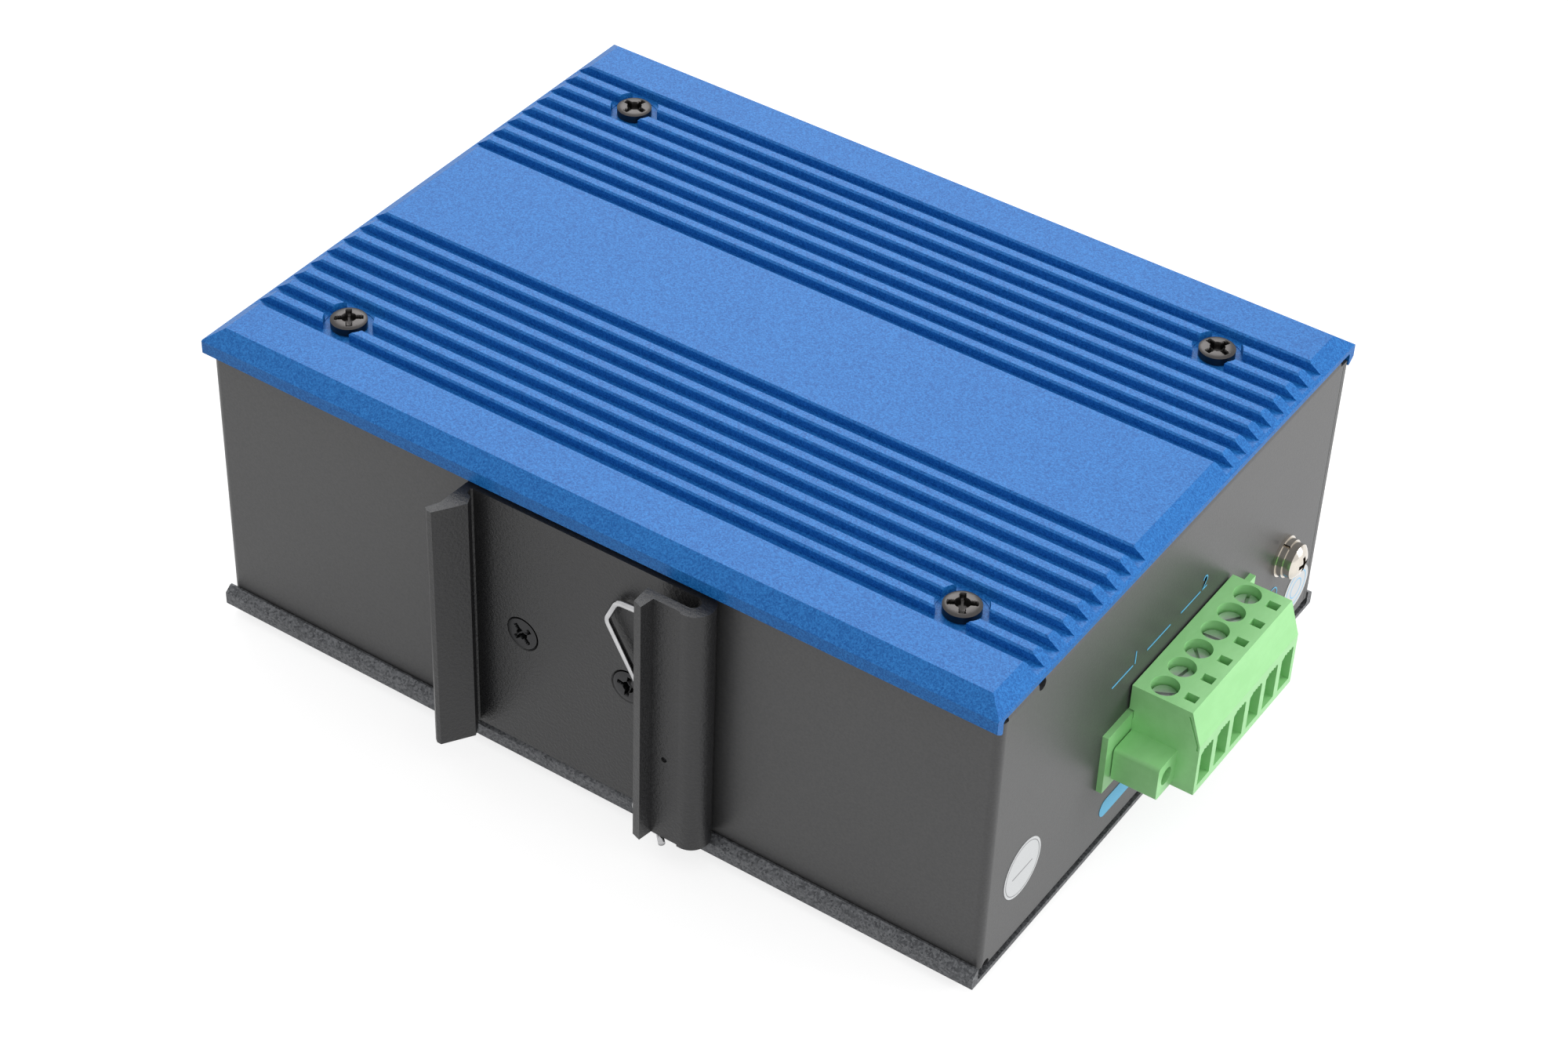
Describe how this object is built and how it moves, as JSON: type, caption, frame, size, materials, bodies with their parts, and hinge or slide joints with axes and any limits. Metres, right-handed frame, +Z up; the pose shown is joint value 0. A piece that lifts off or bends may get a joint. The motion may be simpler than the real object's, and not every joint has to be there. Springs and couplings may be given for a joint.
{
  "type": "industrial ethernet switch",
  "caption": "Rail-mounted network switch: ribbed blue cover, black folded case, grey base, spring rail clip, green plug-in power terminal.",
  "frame": {"origin": "middle of the lower cover's underside", "axes": "+Z up, +X out of the power terminal face, -Y out of the rail clip face, +Y out of the ports"},
  "size_m": [0.1552, 0.1139, 0.0579],
  "materials": {
    "blue_cover": "satin blue coated aluminium with fine metal flake",
    "grey_cover": "rough dark grey coated aluminium with fine metal flake",
    "case_black": "satin black powder-coated steel sheet",
    "clip_black": "matte black anodised aluminium",
    "black_screw": "black oxide steel",
    "spring_steel": "bright spring wire",
    "nickel": "nickel-plated steel",
    "plain_steel": "zinc-plated steel",
    "tinned_steel": "tinned sheet",
    "terminal_green": "light green moulded plastic",
    "port_black": "black moulded plastic",
    "gold_contact": "gold-plated contact",
    "clear_pipe": "clear moulded light pipe",
    "lamp": "lamp body",
    "board_green": "solder-masked board",
    "chip_black": "moulded chip body",
    "soft_pad": "soft heat pad",
    "bare_aluminium": "bare folded aluminium",
    "ferrite": "ferrite core",
    "winding_tape": "taped winding",
    "can_sleeve": "sleeved capacitor can",
    "can_crystal": "drawn metal can"
  },
  "bodies": {
    "root": {"case_wrap": "case_black", "chip_pad": "soft_pad", "circuit_board": "board_green", "clamp_screws": "plain_steel", "clock_crystal": "can_crystal", "cover_pads": "soft_pad", "earth_nut": "plain_steel", "earth_plain_washer": "nickel", "earth_screw": "nickel", "earth_spring_washer": "nickel", "fibre_cage_1": "tinned_steel", "fibre_cage_2": "tinned_steel", "filter_capacitors": "can_sleeve", "header_pins": "plain_steel", "heat_spreader": "bare_aluminium", "light_pipes": "clear_pipe", "lower_cover": "grey_cover", "lower_cover_screws": "black_screw", "lower_posts": "plain_steel", "memory_chip": "chip_black", "plug_fixing_screws": "plain_steel", "port_body_1": "port_black", "port_body_2": "port_black", "port_body_3": "port_black", "port_body_4": "port_black", "port_contacts": "gold_contact", "port_panel": "case_black", "port_shell_1": "tinned_steel", "port_shell_2": "tinned_steel", "port_shell_3": "tinned_steel", "port_shell_4": "tinned_steel", "port_transformers": "chip_black", "power_inductor": "ferrite", "rail_clip": "clip_black", "rail_clip_nuts": "plain_steel", "rail_clip_screws": "black_screw", "rail_clip_spring": "spring_steel", "ribbed_cover": "blue_cover", "ribbed_cover_screws": "black_screw", "status_lamps": "lamp", "switch_chip": "chip_black", "terminal_header": "terminal_green", "terminal_plug": "terminal_green", "transformer_core": "ferrite", "transformer_feet": "port_black", "transformer_winding": "winding_tape", "upper_posts": "plain_steel", "wire_clamps": "plain_steel"}
  },
  "joints": []
}
